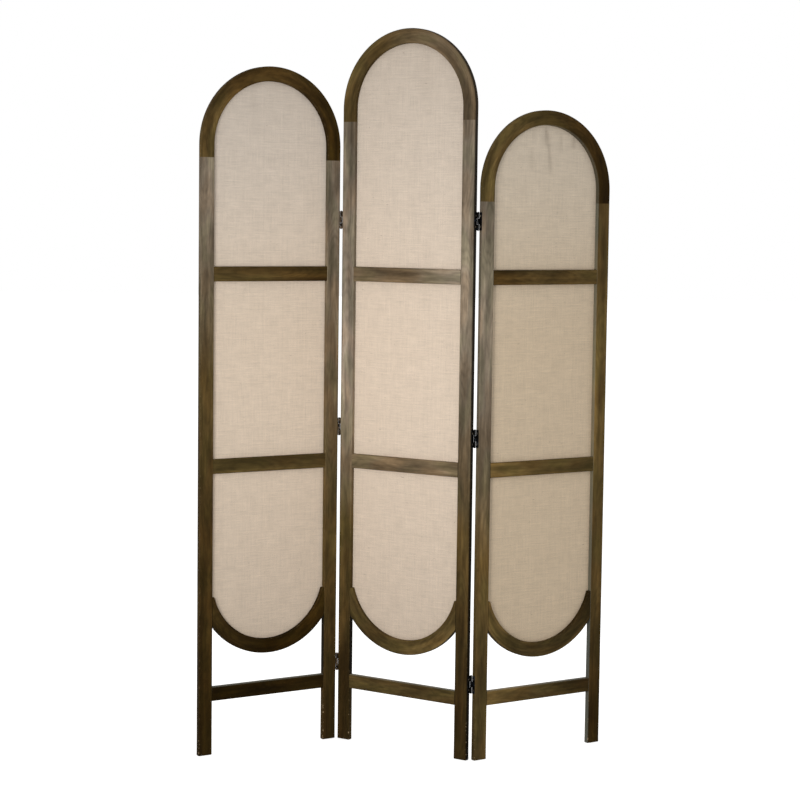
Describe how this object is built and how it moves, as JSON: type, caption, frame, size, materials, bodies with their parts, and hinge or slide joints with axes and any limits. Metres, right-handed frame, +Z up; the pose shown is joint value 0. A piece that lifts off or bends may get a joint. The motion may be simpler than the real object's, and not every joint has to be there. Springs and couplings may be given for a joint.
{
  "type": "folding screen",
  "caption": "Folding screen of arched panels, wooden frames with stretched linen fields, rails and legs, stepped in height and joined by butt hinges in a zigzag.",
  "frame": {"origin": "on the floor, under the middle of the screen's bounding box as it stands open in a zigzag", "axes": "+Z up, the longest extent; the front of the screen faces -Y; +X towards the lowest panel, on the viewer's right"},
  "size_m": [1.0148, 0.2256, 1.8],
  "materials": {
    "frame_wood": "grey-brown washed stain, matt, with open straight grain",
    "arch_wood": "darker olive-brown stain, matt",
    "low_wood": "dark olive-brown stain, matt, lightly scuffed",
    "linen": "natural plain-woven linen with slubs",
    "hinge_metal": "dark bronzed steel, satin"
  },
  "bodies": {
    "centre_panel": {"centre_panel_stile_left": "frame_wood", "centre_panel_stile_right": "frame_wood", "centre_panel_arch_head": "arch_wood", "centre_panel_upper_rail": "frame_wood", "centre_panel_lower_rail": "frame_wood", "centre_panel_bottom_arc": "low_wood", "centre_panel_stretcher": "low_wood", "centre_panel_fabric": "linen", "left_hinge_low_leaf_centre": "hinge_metal", "left_hinge_low_pin": "hinge_metal", "left_hinge_middle_leaf_centre": "hinge_metal", "left_hinge_middle_pin": "hinge_metal", "left_hinge_top_leaf_centre": "hinge_metal", "left_hinge_top_pin": "hinge_metal", "right_hinge_low_leaf_centre": "hinge_metal", "right_hinge_low_pin": "hinge_metal", "right_hinge_middle_leaf_centre": "hinge_metal", "right_hinge_middle_pin": "hinge_metal", "right_hinge_top_leaf_centre": "hinge_metal", "right_hinge_top_pin": "hinge_metal"},
    "left_panel": {"left_panel_stile_left": "frame_wood", "left_panel_stile_right": "frame_wood", "left_panel_arch_head": "arch_wood", "left_panel_upper_rail": "frame_wood", "left_panel_lower_rail": "frame_wood", "left_panel_bottom_arc": "low_wood", "left_panel_stretcher": "low_wood", "left_panel_fabric": "linen", "left_hinge_low_leaf_side": "hinge_metal", "left_hinge_middle_leaf_side": "hinge_metal", "left_hinge_top_leaf_side": "hinge_metal"},
    "right_panel": {"right_panel_stile_left": "frame_wood", "right_panel_stile_right": "frame_wood", "right_panel_arch_head": "arch_wood", "right_panel_upper_rail": "frame_wood", "right_panel_lower_rail": "frame_wood", "right_panel_bottom_arc": "low_wood", "right_panel_stretcher": "low_wood", "right_panel_fabric": "linen", "right_hinge_low_leaf_side": "hinge_metal", "right_hinge_middle_leaf_side": "hinge_metal", "right_hinge_top_leaf_side": "hinge_metal"}
  },
  "joints": [
    {"name": "left_fold", "type": "hinge", "parent": "centre_panel", "child": "left_panel", "pos_m": [-0.1674, 0.10275, 0], "axis": [0, 0, 1], "range_deg": [-65.5, 114.5]},
    {"name": "right_fold", "type": "hinge", "parent": "centre_panel", "child": "right_panel", "pos_m": [0.17087, -0.10293, 0], "axis": [0, 0, 1], "range_deg": [-66.5, 113.5]}
  ]
}
